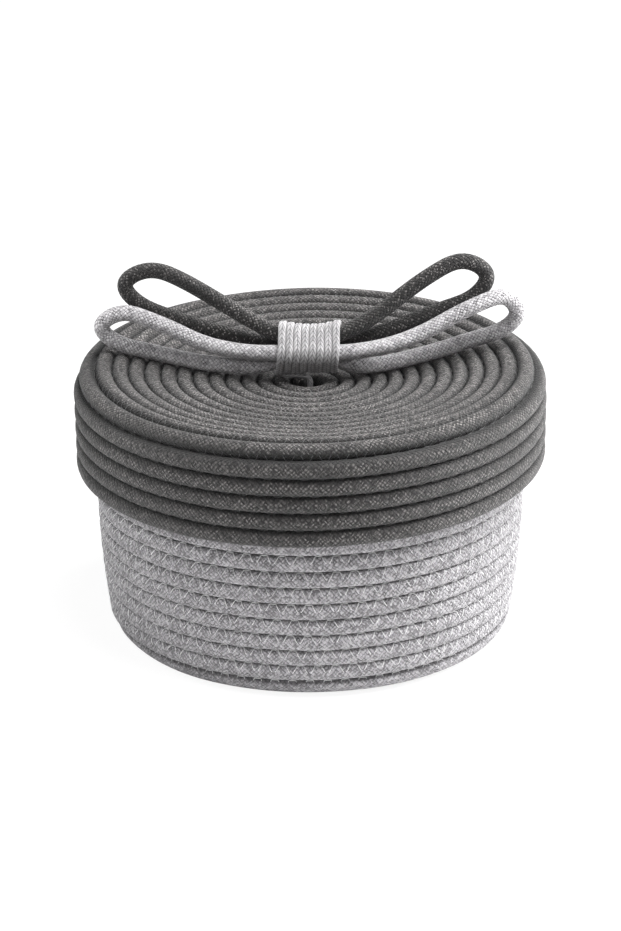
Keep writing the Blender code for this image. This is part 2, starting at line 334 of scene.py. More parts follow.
def basketRows(s):
    def wallRadius(height):
        below = 1 - min(1, height / s["flareHeight"])
        return s["rimRadius"] - (s["rimRadius"] - s["footRadius"]) * below ** 2

    fillet, level, steps = s["footFillet"], s["floorLevel"], s["profileSteps"]
    corners = [(0, level)]
    corners += arc((wallRadius(fillet) - fillet, level + fillet), fillet, -math.pi / 2, 0)
    top = s["wallHeight"] + s["pitch"]
    heights = [fillet + (top - fillet) * k / steps for k in range(1, steps + 1)]
    corners += [(wallRadius(h), level + h) for h in heights]
    return windRows(Section(corners), math.hypot(s["eye"] + s["ropeRadius"], s["ropeRadius"]),
                    lambda d: s["pitch"], lambda place: place[1] >= level + s["wallHeight"],
                    s["startAngle"], 1, 1)


lidSettings = dict(
    topPitch=7.95 * mm, skirtPitch=8.5 * mm, skirtRadius=111.7 * mm, skirtHeight=45 * mm,
    shoulder=9 * mm, dishDepth=10.5 * mm, ropeRadius=3.65 * mm, eye=1.8 * mm,
    startAngle=math.radians(165), restHeight=132.57 * mm, lean=math.radians(1.9),
    highSide=math.radians(77), profileSteps=40,
)


# The lid lies a little askew on the rim: it leans about the middle of its skirt.
def settled(path, s):
    axis = (math.sin(s["highSide"]), -math.cos(s["highSide"]), 0)
    turn = np.array(Matrix.Rotation(s["lean"], 3, axis))
    middle = np.array([0, 0, -s["skirtHeight"] / 2])
    result = {key: path[key] @ turn.T for key in ("across", "outward")}
    leaning = (path["places"] - middle) @ turn.T + middle
    result["places"] = leaning + np.array([0, 0, s["restHeight"]])
    return {**path, **result}


def dishHeight(radius, s):
    return -s["dishDepth"] * (1 - min(1, radius / (s["skirtRadius"] - s["shoulder"])) ** 2)


def lidRows(s):
    edge, steps = s["skirtRadius"] - s["shoulder"], s["profileSteps"]
    radii = [edge * k / steps for k in range(steps + 1)]
    corners = [(radius, dishHeight(radius, s)) for radius in radii]
    corners += arc((edge, -s["shoulder"]), s["shoulder"], math.pi / 2, 0)[1:]
    corners.append((s["skirtRadius"], -s["skirtHeight"] - s["skirtPitch"]))
    section = Section(corners)

    def pitchAt(distance):
        share = (section.at(distance)[0] - edge) / s["shoulder"]
        return s["topPitch"] + (s["skirtPitch"] - s["topPitch"]) * min(1, max(0, share))

    rows = windRows(section, math.hypot(s["eye"] + s["ropeRadius"], s["ropeRadius"]), pitchAt,
                    lambda place: place[1] <= -s["skirtHeight"], s["startAngle"], -1, -1)
    rows["girth"] = np.array([pitchAt(d) / s["topPitch"] for d in rows["distances"]])
    return settled(rows, s)


basketLine, lidLine = basketRows(basketSettings), lidRows(lidSettings)
print("rows laid out")


def girthOf(path):
    return path.get("girth", np.ones(len(path["places"])))


# A line of points with the directions of a rope's flat sides and its girth stored on them.
def pathObject(name, path):
    places = path["places"]
    mesh = bpy.data.meshes.new(name)
    mesh.from_pydata([tuple(p) for p in places], [(k, k + 1) for k in range(len(places) - 1)], [])
    for key in ("across", "outward"):
        layer = mesh.attributes.new(key, "FLOAT_VECTOR", "POINT")
        layer.data.foreach_set("vector", np.array(path[key], np.float32).ravel())
    girth = mesh.attributes.new("girth", "FLOAT", "POINT")
    girth.data.foreach_set("value", np.array(girthOf(path), np.float32))
    line = bpy.data.objects.new(name, mesh)
    bpy.context.collection.objects.link(line)
    return line


endShares = np.array([0, 0.02, 0.08, 0.18, 0.32, 0.5, 0.72, 1.0])  # closest together at the tip


# Rounded ends: the girth falls to nothing over the last stretch of the rope.
def withRoundEnds(path, reach):
    along = np.concatenate([[0], np.cumsum(runsOf(path["places"]))])
    ends = reach * endShares
    between = along[(along > reach) & (along < along[-1] - reach)]
    cuts = np.unique(np.concatenate([ends, along[-1] - ends, between]))
    result = {key: np.stack([np.interp(cuts, along, path[key][:, axis]) for axis in range(3)], axis=1)
              for key in ("places", "across", "outward")}
    fromEnd = np.minimum(cuts, along[-1] - cuts) / reach
    taper = np.sqrt(np.clip(1 - (1 - np.minimum(1, fromEnd)) ** 2, 0, 1))
    result["girth"] = np.interp(cuts, along, girthOf(path)) * taper
    return result


# Steps that keep the numbers of unlike strands, crossings, plies and columns apart.
strandStep, crossingStep, plyStep, columnStep = 40, 3.7, 0.37, 31


# Strands that cross over and under each other, both ways round the rope, each of a few plies.
# Gives the height of what lies on top, and the numbers of its strand, crossing and ply.
def braidFields(tree, along, around, braid):
    one = along / braid["pitch"] + around * braid["strands"]
    two = along / braid["pitch"] - around * braid["strands"]
    first = (one.math("FLOOR") + two.math("FLOOR")) % 2
    across = tree.mixFloat(first, one.math("FRACT"), two.math("FRACT")) * 2 - 1
    lengthwise = tree.mixFloat(first, two.math("FRACT"), one.math("FRACT")) * 2 - 1
    plies = (across + 1) * 0.5 * braid["plies"] + lengthwise * braid["plyLean"]
    ply = plies.math("FRACT") * 2 - 1
    dip = 1 - braid["dip"] * lengthwise.math("ABSOLUTE") ** 3
    height = (1 - across * across) ** braid["roundness"] * dip * (0.5 + 0.5 * (1 - ply * ply))
    strand = tree.mixFloat(first, one.math("FLOOR"), two.math("FLOOR")) % braid["strands"]
    crossing = one.math("FLOOR") + crossingStep * two.math("FLOOR")
    stroke = crossing + plyStep * plies.math("FLOOR")
    return height, strand + strandStep * first, crossing, stroke


# Strokes that slant to and fro in neighbouring columns, as on a plaited cord.
def chevronFields(tree, along, around, braid):
    column = around * braid["strands"]
    across = column.math("FRACT") * 2 - 1
    slant = tree.mixFloat(column.math("FLOOR") % 2, across, 0 - across) * braid["slant"]
    stroke = along / braid["pitch"] + slant
    within = stroke.math("FRACT") * 2 - 1
    ply = (2 * stroke).math("FRACT") * 2 - 1
    height = ((1 - within * within) ** braid["roundness"]
              * (1 - braid["dip"] * across.math("ABSOLUTE") ** 4)
              * (1 - braid["plyDip"] * ply * ply))
    number = stroke.math("FLOOR") + columnStep * column.math("FLOOR")
    return height, column.math("FLOOR"), number, number


weave = dict(fields=braidFields, strands=12, plyLean=0.25, roundness=0.6, dip=0.75)
coilBraid = dict(weave, pitch=2.2 * mm, plies=3, girth=27 * mm)
bowBraid = dict(weave, pitch=2.1 * mm, plies=2, girth=24 * mm)
cordBraid = dict(fields=chevronFields, strands=4, slant=0.9, roundness=0.6, dip=0.6, plyDip=0.3,
                 pitch=2.3 * mm, girth=11 * mm)


def newTree(name, inputs):
    group = bpy.data.node_groups.new(name, "GeometryNodeTree")
    group.interface.new_socket("Geometry", in_out="INPUT", socket_type="NodeSocketGeometry")
    group.interface.new_socket("Geometry", in_out="OUTPUT", socket_type="NodeSocketGeometry")
    for label, kind in inputs.items():
        group.interface.new_socket(label, in_out="INPUT", socket_type="NodeSocket" + kind)
    tree = NodeTree(group)
    return tree, {socket.name: Field(tree, socket) for socket in tree.add("NodeGroupInput").outputs}


def attribute(tree, name, kind="FLOAT_VECTOR"):
    return tree.field("GeometryNodeInputNamedAttribute", {"data_type": kind}, {"Name": name})


def splinePlace(tree, output):
    return tree.field("GeometryNodeSplineParameter", None, None, output)


def resampled(tree, curve, **values):
    mode = "LENGTH" if "Length" in values else "COUNT"
    return tree.field("GeometryNodeResampleCurve", {"mode": mode}, {"Curve": curve, **values})


def moved(tree, geometry, **values):
    return tree.field("GeometryNodeSetPosition", None, {"Geometry": geometry, **values})


def captured(tree, geometry, name, value):
    node = tree.tree.nodes.new("GeometryNodeCaptureAttribute")
    node.capture_items.new("FLOAT", name)
    tree.put(node.inputs["Geometry"], geometry)
    tree.put(node.inputs[name], value)
    return Field(tree, node.outputs["Geometry"]), Field(tree, node.outputs[name])


# A slow wander of a path, the same for whatever lies near the same place.
def wandered(tree, curve, given):
    noise = tree.field("ShaderNodeTexNoise", {"noise_dimensions": "4D"}, {
        "Vector": tree.field("GeometryNodeInputPosition"), "W": given["WanderSeed"],
        "Scale": 1 / given["WanderSize"], "Detail": 1.0}, "Color")
    centered = tree.vectorMath("SUBTRACT", noise, (0.5, 0.5, 0.5))
    return moved(tree, curve, Offset=tree.scaled(centered, 2 * given["Wander"]))


def withUv(tree, geometry, along, around):
    return tree.field("GeometryNodeStoreNamedAttribute", {"data_type": "FLOAT2", "domain": "CORNER"},
                      {"Geometry": geometry, "Name": "ropeUv", "Value": tree.vector(along, around)})


def finishTree(tree, swept, material):
    shaded = tree.field("GeometryNodeSetShadeSmooth", None, {"Geometry": swept, "Shade Smooth": True})
    made = tree.field("GeometryNodeRealizeInstances", None, {0: shaded})
    made = tree.field("GeometryNodeSetMaterial", None, {"Geometry": made, "Material": material})
    tree.add("NodeGroupOutput", None, {0: made})
    return tree.tree


# The rope's outline: round at a Squareness of 2 and squarer above it, evenly divided. It is drawn
# this many times finer first, so that the divisions lie well.
def ropeSection(tree, given, fineness=8):
    line = tree.field("GeometryNodeCurvePrimitiveLine", None, {"Start": (0, 0, 0), "End": (1, 0, 0)})
    section = resampled(tree, line, Count=fineness * given["Sides"] + 1)
    angle = splinePlace(tree, "Factor") * math.tau
    power = 2 / given["Squareness"]
    cosine, sine = angle.math("COSINE"), angle.math("SINE")
    x = cosine.math("SIGN") * cosine.math("ABSOLUTE") ** power * given["HalfWidth"]
    y = sine.math("SIGN") * sine.math("ABSOLUTE") ** power * given["HalfHeight"]
    leanX, leanY = given["Lean"].math("COSINE"), given["Lean"].math("SINE")
    section = moved(tree, section, Position=tree.vector(x * leanX - y * leanY, x * leanY + y * leanX))
    section = resampled(tree, section, Count=given["Sides"] + 1)
    return captured(tree, section, "Around", splinePlace(tree, "Factor"))


# Rope swept along a path: it wanders slightly and has its braid's relief. Its girth follows the
# path's, and reaches nothing at the ends, where the last ring is closed up.
def ropeTree(name, braid, closeUp=0.01 * mm):
    tree, given = newTree(name, {
        "Step": "Float", "HalfWidth": "Float", "HalfHeight": "Float", "Squareness": "Float",
        "Lean": "Float", "Sides": "Int", "Wander": "Float", "WanderSize": "Float",
        "WanderSeed": "Float", "Relief": "Float", "Material": "Material",
    })
    curve = tree.field("GeometryNodeMeshToCurve", None, {0: given["Geometry"]})
    curve = wandered(tree, resampled(tree, curve, Length=given["Step"]), given)
    curve = tree.field("GeometryNodeSetCurveNormal", {"mode": "FREE"},
                       {"Curve": curve, "Normal": attribute(tree, "across")})
    curve, along = captured(tree, curve, "Along", splinePlace(tree, "Length"))
    section, around = ropeSection(tree, given)
    swept = tree.field("GeometryNodeCurveToMesh", None, {
        "Curve": curve, "Profile Curve": section, "Scale": attribute(tree, "girth", "FLOAT")})
    swept = withUv(tree, swept, along, around)
    height = braid["fields"](tree, along, around, braid)[0]
    lift = (height - 0.5) * given["Relief"] * attribute(tree, "girth", "FLOAT")
    swept = tree.field("GeometryNodeMergeByDistance", None, {"Geometry": swept, "Distance": closeUp})
    normal = tree.field("GeometryNodeInputNormal")
    swept = moved(tree, swept, Offset=tree.scaled(normal, lift))
    return finishTree(tree, swept, given["Material"])


# How the thread lies: steps in each leg of the zigzag, how unlike the legs are, how far down the
# groove it follows the rows' rounding, where a leaning row tilts it, and how steeply it dives.
stitchShape = dict(legSteps=8, uneven=0.08, rounding=0.96, tiltShare=0.14, plunge=1.5)


# Thread sewn in a zigzag over the groove between two rows. It lies on the rows' rounding, runs
# a short way along the edge of the one row, and dives into the other at its holes.
def stitchTree(name, shape):
    tree, given = newTree(name, {
        "HalfPeriod": "Float", "Swing": "Float", "Shift": "Float", "Hole": "Float", "Over": "Float",
        "HalfWidth": "Float", "HalfHeight": "Float", "Squareness": "Float", "Lean": "Float",
        "Lift": "Float", "Radius": "Float", "Sides": "Int", "Seed": "Int", "Wander": "Float",
        "WanderSize": "Float", "WanderSeed": "Float", "Material": "Material",
    })
    legSteps, square = shape["legSteps"], given["Squareness"]
    curve = tree.field("GeometryNodeMeshToCurve", None, {0: given["Geometry"]})
    curve = wandered(tree, resampled(tree, curve, Length=given["HalfPeriod"] / legSteps), given)
    index = tree.field("GeometryNodeInputIndex")
    phase = (index / (2 * legSteps)).math("FRACT")
    swing = 4 * (phase - 0.5).math("ABSOLUTE") - 1
    leg = (index / legSteps).math("FLOOR")
    random = tree.field("FunctionNodeRandomValue", {"data_type": "FLOAT_VECTOR"},
                        {"Min": (-1, -1, -1), "Max": (1, 1, 1), "ID": leg, "Seed": given["Seed"]})
    reach = given["Swing"] * swing * (1 + shape["uneven"] * tree.parts(random)[0])
    wanted = given["Shift"] + reach
    under = (0 - given["Hole"] - wanted).math("MAXIMUM", 0.0)
    side = wanted.clamped(0 - given["Hole"], given["Over"])
    fromMiddle = (1 - side.math("ABSOLUTE") / given["HalfWidth"]).clamped(0.0, shape["rounding"])
    crown = (1 - fromMiddle ** square) ** (1 / square)
    tilt = (side / (shape["tiltShare"] * given["HalfWidth"])).clamped(-1.0, 1.0) * fromMiddle
    height = (given["HalfHeight"] * crown + tilt * given["HalfWidth"] * given["Lean"].math("SINE")
              + given["Lift"] - shape["plunge"] * under)
    offset = tree.vectorMath("ADD", tree.scaled(attribute(tree, "across"), side),
                             tree.scaled(attribute(tree, "outward"), height))
    curve = moved(tree, curve, Offset=offset)
    curve, along = captured(tree, curve, "Along", splinePlace(tree, "Length"))
    ring = tree.field("GeometryNodeCurvePrimitiveCircle", None,
                      {"Resolution": given["Sides"], "Radius": given["Radius"]})
    swept = tree.field("GeometryNodeCurveToMesh", None,
                       {"Curve": curve, "Profile Curve": ring, "Fill Caps": True})
    return finishTree(tree, withUv(tree, swept, along, 0.0), given["Material"])


# Runs a tree on a path and keeps what it makes as a plain mesh, pressed flat where it stands on
# the ground.
def grow(name, path, tree, values):
    line = pathObject(name + "Path", path)
    modifier = line.modifiers.new("grow", "NODES")
    modifier.node_group = tree
    for item in tree.interface.items_tree:
        if item.in_out == "INPUT" and item.name in values:
            modifier[item.identifier] = values[item.name]
    graph = bpy.context.evaluated_depsgraph_get()
    mesh = bpy.data.meshes.new_from_object(line.evaluated_get(graph))
    bpy.data.objects.remove(line)
    mesh.name = name
    piece = bpy.data.objects.new(name, mesh)
    bpy.context.collection.objects.link(piece)
    corners = np.empty(len(mesh.vertices) * 3, np.float32)
    mesh.vertices.foreach_get("co", corners)
    corners[2::3] = np.maximum(corners[2::3], 0)
    mesh.vertices.foreach_set("co", corners)
    mesh.update()
    print(f"{name}: {sum(len(p.vertices) - 2 for p in mesh.polygons)} triangles")
    return piece


# How all the ropes' yarn looks. A pair is where something starts and is complete, and two more
# numbers are its levels there.
yarnLook = dict(
    strayScale=260.0,
    strandTone=0.1, cloud=0.3, cloudScale=30.0, fibreScale=1500.0, crownMiddle=0.55,
    # ridge, chosen, patches and glintHeight place the painted highlights; fleckHeight places the
    # flecks of painted shade; freeSide and freeReach keep the painted groove shade off the free side.
    ridge=(0.85, 0.98), chosen=(0.7, 0.85), patches=(0.4, 0.62, 0.45, 1.0), glintHeight=(0.6, 0.9),
    fleckHeight=(0.4, 0.7, 1.0, 0.0), fleckEdge=0.02,
    freeSide=(-0.1, 0.1), freeReach=20 * mm,
    fibreRange=(0.2, 0.8), smoother=0.08, rougher=0.06,
    bump=1.0, depth=0.5 * mm, fibreDepth=0.12, fleckDepth=0.4, sheenRoughness=0.5,
)


# Braided cotton yarn of mixed greys. The strands' crowns are painted lighter and the hollows
# between them painted darker, as shade; some crowns carry painted highlights (glints), more in
# some patches and on the rope's ridge than elsewhere. Small dark flecks of painted shade sit in
# pits between them, the rope is painted darker into the grooves at its neighbours as shade, and
# the skirt is painted darker than the lid's top, as shade.
def ropeMaterial(name, look):
    material, tree = newMaterial(name)
    braid = look["braid"]
    along, around, _ = tree.parts(tree.field("ShaderNodeUVMap", {"uv_map": "ropeUv"}))
    side = (around * math.tau).math("SINE").math("ABSOLUTE")
    freeSide = tree.smooth((around * math.tau).math("COSINE"), *look["freeSide"])
    stray = tree.parts(tree.noise(tree.vector(along, around * braid["girth"]),
                                  look["strayScale"], 2.0, output="Color"))
    along = along + look["stray"] * (stray[0] - 0.5)
    around = around + look["stray"] / braid["girth"] * (stray[1] - 0.5)
    height, strand, crossing, stroke = braid["fields"](tree, along, around, braid)
    strandTone, crossTone = tree.randomLevel(strand), tree.randomLevel(crossing)
    strokeTone = tree.randomLevel(stroke)
    place = tree.field("ShaderNodeTexCoord", None, None, "Object")
    fibre = tree.noise(place, look["fibreScale"], 3.0, 0.65)
    cloud = tree.noise(place, look["cloudScale"], 2.0)
    # The yarn's own mixed greys, plus crown: the strands' crowns painted lighter, as light on the
    # relief.
    level = (look["strandTone"] * (strandTone - 0.5) + look["crossTone"] * (crossTone - 0.5)
             + look["strokeTone"] * (strokeTone - 0.5) + look["fibre"] * (fibre - 0.5)
             + look["cloud"] * (cloud - 0.5) + look["crown"] * (height - look["crownMiddle"]) + 0.5)
    color = tree.mixColor(tree.smooth(level, 0.0, 1.0), look["dark"], look["light"])
    # Painted shade in the hollows between the strands.
    color = tree.mixColor(tree.smooth(height, 0.0, look["hollowShadeReach"]), look["hollowShade"], color)

    # Painted highlights: glints on some strand crowns, more in patches and on the rope's ridge.
    onRidge = look["ridgeGlint"] * tree.smooth(side, *look["ridge"])
    chosen = tree.smooth(strokeTone + onRidge, *look["chosen"])
    patches = tree.smooth(cloud, *look["patches"])
    glint = patches * tree.smooth(height, *look["glintHeight"]) * chosen * look["glint"]
    color = tree.mixColor(glint, color, look["glintColor"])

    # Small dark flecks of painted shade in pits between the strands, which the bump lowers too.
    chance = tree.randomLevel(crossing + 0.5)
    rare = tree.smooth(chance, look["fleckShare"], look["fleckShare"] + look["fleckEdge"], 1.0, 0.0)
    fleck = tree.smooth(height, *look["fleckHeight"]) * rare
    color = tree.mixColor(fleck, color, look["hollowShade"])

    # Painted shade: the rope darkens into the grooves at its neighbours, except on the last turn's
    # free side.
    shade = tree.smooth(side, *look["groove"], look["grooveShade"], 0.0)
    free = tree.smooth(along, look["lastTurn"], look["lastTurn"] + look["freeReach"]) * freeSide
    color = tree.mixColor(shade * (1 - free), color, look["hollowShade"])
    # Painted shade: the lid's skirt darker than its top.
    if "skirt" in look:
        level = tree.vectorMath("MULTIPLY", place, (1, 1, 0))
        reach = tree.vectorMath("LENGTH", level, output=1)
        color = tree.scaled(color, tree.smooth(reach, *look["skirt"]))

    rough = tree.smooth(fibre, *look["fibreRange"], look["roughness"] - look["smoother"],
                        look["roughness"] + look["rougher"])
    surface = height + look["fibreDepth"] * fibre - look["fleckDepth"] * fleck
    bump = tree.field("ShaderNodeBump", None, {
        "Strength": look["bump"], "Distance": look["depth"], "Height": surface})
    shader = tree.field("ShaderNodeBsdfPrincipled", None, {
        "Base Color": color, "Roughness": rough, "Normal": bump, "Sheen Weight": look["sheen"],
        "Sheen Roughness": look["sheenRoughness"], "Specular IOR Level": look["specular"]})
    tree.add("ShaderNodeOutputMaterial", None, {0: shader})
    return material


threadLook = dict(twists=5200, twistTone=0.12, fleckScale=400.0, mixRange=(0.25, 0.75),
                  fleckRange=(0.2, 0.8), roughSwing=0.08, bump=0.6, depth=0.1 * mm, sheen=0.2)


# Twisted sewing thread.
def threadMaterial(name, look):
    material, tree = newMaterial(name)
    along = tree.parts(tree.field("ShaderNodeUVMap", {"uv_map": "ropeUv"}))[0]
    place = tree.field("ShaderNodeTexCoord", None, None, "Object")
    twist = (along * look["twists"]).math("SINE")
    fleck = tree.noise(place, look["fleckScale"], 2.0)
    mixed = tree.smooth(fleck + look["twistTone"] * twist, *look["mixRange"])
    color = tree.mixColor(mixed, look["dark"], look["light"])
    rough = tree.smooth(fleck, *look["fleckRange"], look["roughness"] - look["roughSwing"],
                        look["roughness"] + look["roughSwing"])
    bump = tree.field("ShaderNodeBump", None, {
        "Strength": look["bump"], "Distance": look["depth"], "Height": twist + fleck})
    shader = tree.field("ShaderNodeBsdfPrincipled", None, {
        "Base Color": color, "Roughness": rough, "Normal": bump,
        "Specular IOR Level": look["specular"], "Sheen Weight": look["sheen"]})
    tree.add("ShaderNodeOutputMaterial", None, {0: shader})
    return material


# crown lightens the strands' crowns and the hollow colour darkens their hollows, flecks and the rows'
# grooves: painted light and shade. glint and ridgeGlint set painted highlights.
lightLook = dict(
    yarnLook, braid=coilBraid, lastTurn=lastTurn(basketLine),
    light=(0.45, 0.438, 0.456, 1), dark=(0.148, 0.143, 0.15, 1), hollowShade=(0.06, 0.058, 0.06, 1),
    crossTone=0.25, strokeTone=0.8, fibre=1.6, crown=0.45, hollowShadeReach=0.3, fleckShare=0.05,
    glint=0.0, glintColor=grey(0.9), ridgeGlint=0.0, groove=(0.35, 0.7), grooveShade=0.7,
    stray=2.0 * mm, roughness=0.85, sheen=0.2, specular=0.3)
darkLook = dict(
    yarnLook, braid=coilBraid, lastTurn=lastTurn(lidLine),
    light=(0.088, 0.0815, 0.08, 1), dark=(0.005, 0.0046, 0.0045, 1),
    hollowShade=(0.005, 0.0045, 0.0045, 1),
    crossTone=0.3, strokeTone=0.9, fibre=1.8, crown=0.7, hollowShadeReach=0.4, fleckShare=0.03,
    glint=1.0, glintColor=(0.36, 0.34, 0.33, 1), ridgeGlint=0.35, groove=(0.35, 0.92),
    grooveShade=1.0, stray=1.8 * mm, roughness=0.75, sheen=0.12, specular=0.4)

lightRope = ropeMaterial("light_rope", lightLook)
# The lid's skirt is painted darker than its top, as shade.
darkRope = ropeMaterial("dark_rope", dict(darkLook, skirt=(104 * mm, 113 * mm, 1.0, 0.62)))
bowLight = ropeMaterial("light_bow_rope", dict(
    lightLook, braid=bowBraid, light=(0.60, 0.585, 0.60, 1), dark=(0.29, 0.28, 0.29, 1),
    fleckShare=0.06, strokeTone=0.6, glint=0.5, stray=0.8 * mm, grooveShade=0.0))
bowDark = ropeMaterial("dark_bow_rope", dict(
    darkLook, braid=bowBraid, light=(0.027, 0.0247, 0.024, 1), dark=(0.004, 0.0037, 0.0036, 1),
    glint=0.7, stray=0.8 * mm, grooveShade=0.0))
bindingLook = ropeMaterial("binding_cord", dict(
    lightLook, braid=cordBraid, light=(0.49, 0.48, 0.49, 1), dark=(0.17, 0.166, 0.17, 1),
    fleckShare=0.0, crown=1.0, crossTone=0.1, strokeTone=0.3, fibre=0.8, stray=0.25 * mm,
    depth=0.4 * mm, grooveShade=0.0))
lightThread = threadMaterial("light_thread", dict(
    threadLook, light=grey(0.85), dark=grey(0.6), roughness=0.5, specular=0.4))
darkThread = threadMaterial("dark_thread", dict(
    threadLook, light=grey(0.13), dark=grey(0.02), roughness=0.45, specular=0.5))
print("materials made")

coilSweep = ropeTree("coilSweep", coilBraid)
bowSweep = ropeTree("bowSweep", bowBraid)
cordSweep = ropeTree("cordSweep", cordBraid)
stitching = stitchTree("stitching", stitchShape)

coilEnd, bowEnd, cordEnd = 3.6 * mm, 1.5 * mm, 1.2 * mm  # the length of each rope's rounded ends
zigzag = dict(HalfPeriod=4.1 * mm, Swing=3.6 * mm, Shift=-0.9 * mm, Hole=3.3 * mm,
              Over=0.12 * mm, Sides=3)

basketSection = dict(Wander=0.25 * mm, WanderSize=40 * mm, WanderSeed=3.0, HalfWidth=4.02 * mm,
                     HalfHeight=3.7 * mm, Squareness=3.4)
basketRope = dict(basketSection, Step=2.6 * mm, Lean=math.radians(-5), Sides=18, Relief=0.0,
                  Material=lightRope)
basketStitch = dict(basketSection, **zigzag, Lift=0.16 * mm, Radius=0.18 * mm, Material=lightThread)
basketGroove = grooveOf(basketLine)

basketCoil = grow("basket_rope", withRoundEnds(basketLine, coilEnd), coilSweep, basketRope)
basketThread = grow("basket_thread", basketGroove, stitching,
                    dict(basketStitch, Lean=math.radians(5), Seed=5))
basketInsideThread = grow("basket_inside_thread", insideOf(basketGroove), stitching,
                          dict(basketStitch, Lean=math.radians(-5), Seed=6))
print("basket wound and sewn")

lidSection = dict(Wander=0.22 * mm, WanderSize=40 * mm, WanderSeed=7.0, HalfWidth=3.88 * mm,
                  HalfHeight=3.72 * mm, Squareness=2.4, Lean=0.0)
lidRope = dict(lidSection, Step=2.6 * mm, Sides=20, Relief=0.0, Material=darkRope)
lidStitch = dict(lidSection, **zigzag, Lift=0.0, Radius=0.16 * mm, Material=darkThread)
lidGroove = grooveOf(lidLine)

lidCoil = grow("lid_rope", withRoundEnds(lidLine, coilEnd), coilSweep, lidRope)
lidThread = grow("lid_thread", lidGroove, stitching, dict(lidStitch, Seed=9))
lidInsideThread = grow("lid_inside_thread", insideOf(lidGroove), stitching, dict(lidStitch, Seed=10))
print("lid wound and sewn")

# The bow's free loops, in millimetres about the middle of the binding: right is +X, back is +Y.
darkRightLoop = [
    (15.5, 5.7, 0.2), (25, 7.1, 2.6), (41, 9, 6.9), (57, 12, 12.6), (70, 14.2, 16.6),
    (80.5, 15.6, 21.3), (86.4, 15.8, 31.2), (76.5, 14.8, 39.1), (61.8, 12, 35.2), (49, 8.8, 27.3),
    (34, 4.8, 16.9), (22.5, 1.4, 10.7), (15.5, 0.1, 7.9)]
darkLeftLoop = [
    (-15.5, 0.1, 7.9), (-24.5, 1.9, 11.7), (-38.2, 6, 18.7), (-53.8, 10, 27.3), (-66, 12.4, 33.4),
    (-79.8, 14.4, 35.6), (-90.2, 15.6, 28), (-84, 15.9, 18.6), (-71, 14, 12.8), (-55.6, 11.4, 8.2),
    (-38.4, 8.6, 4), (-25, 6.9, 1.4), (-15.5, 5.7, 0.1)]
lightRightLoop = [
    (14.5, -0.1, -5.8), (23.5, 0.6, -8.8), (34, 4.6, -10.2), (49, 10.2, -9), (65, 15.4, -6.4),
    (80.5, 18.5, -2.6), (93, 18.6, 1.6), (101.6, 16.4, 11.6), (95.4, 12.9, 21.2), (84.8, 8.8, 20.4),
    (72.3, 5.4, 15.6), (56.7, 1.8, 8.2), (41, -2.2, 3.2), (25.5, -5, 0.8), (15.5, -5.7, 0.1)]
lightLeftLoop = [
    (-15.5, -5.7, 0), (-25.5, -5.1, -0.1), (-38.3, -2.2, 0.4), (-55.4, 2, 3.9), (-67.8, 5, 9.1),
    (-80.4, 7.9, 13.5), (-93.3, 11, 14.7), (-102.2, 13, 7.2), (-94.5, 13.5, -1.2),
    (-82.3, 12, -4.6), (-66.5, 8.6, -7.1), (-50.8, 4.6, -8.9), (-35.1, 0.8, -9.4), (-24, -0.6, -8.4),
    (-14.5, -0.1, -5.8)]
tailPoints = [
    (-15.2, -4.2, 4.2), (-15.3, -1.2, 2), (-14.5, 0.9, 0.5), (-12.6, 1.5, 0), (-9.5, 1.3, 0),
    (-6, 0.6, 0), (-3.6, 0.2, 0), (-1.6, 0, -0.4), (-0.4, 0, -1.6), (0, 0, -3.4)]

bowSettings = dict(
    ropeDiameter=7.3 * mm, cordDiameter=2.7 * mm, cordGap=0.45 * mm, strandGap=0.45 * mm,
    seatGap=0.3 * mm, strandReach=8 * mm, buttGap=0.5 * mm, lineStep=0.5 * mm,
    cornerLean=math.radians(36), cornerPoints=7, turns=7.5, turnPitch=3.75 * mm,
    saddleRise=2 * mm, turnSteps=2, knotTurns=2.25, knotSteps=12, bendPoints=6, tailSteps=6,
    tailGirth=0.82, thinning=(-6, 20),
)
strandOffset = (bowSettings["ropeDiameter"] + bowSettings["strandGap"]) / math.sqrt(2)
seat = (bowSettings["ropeDiameter"] + bowSettings["cordDiameter"]) / 2 + bowSettings["seatGap"]
wrapRadius = seat / math.cos(bowSettings["cornerLean"] / 2)
cordPitch = bowSettings["cordDiameter"] + bowSettings["cordGap"]
bindingDepth = strandOffset + wrapRadius + cordPitch
bowLevel = bindingDepth + seat - lidSettings["dishDepth"]


# How much higher the top strand lies towards the ends of the binding.
def saddleLift(x, s):
    return s["saddleRise"] * (x / (s["turns"] * s["turnPitch"] / 2)) ** 2


# A smooth line through all points, with so many steps between each two.
def smoothLine(points, steps):
    points = [Vector(p) for p in points]
    ends = [points[0] * 2 - points[1], *points, points[-1] * 2 - points[-2]]
    fine = []
    for k in range(len(points) - 1):
        a, b, c, d = ends[k:k + 4]
        for j in range(steps):
            t = j / steps
            fine.append(0.5 * (2 * b + (c - a) * t + (2 * a - 5 * b + 4 * c - d) * t * t
                               + (3 * b - a - 3 * c + d) * t ** 3))
    fine.append(points[-1])
    return np.array(fine)


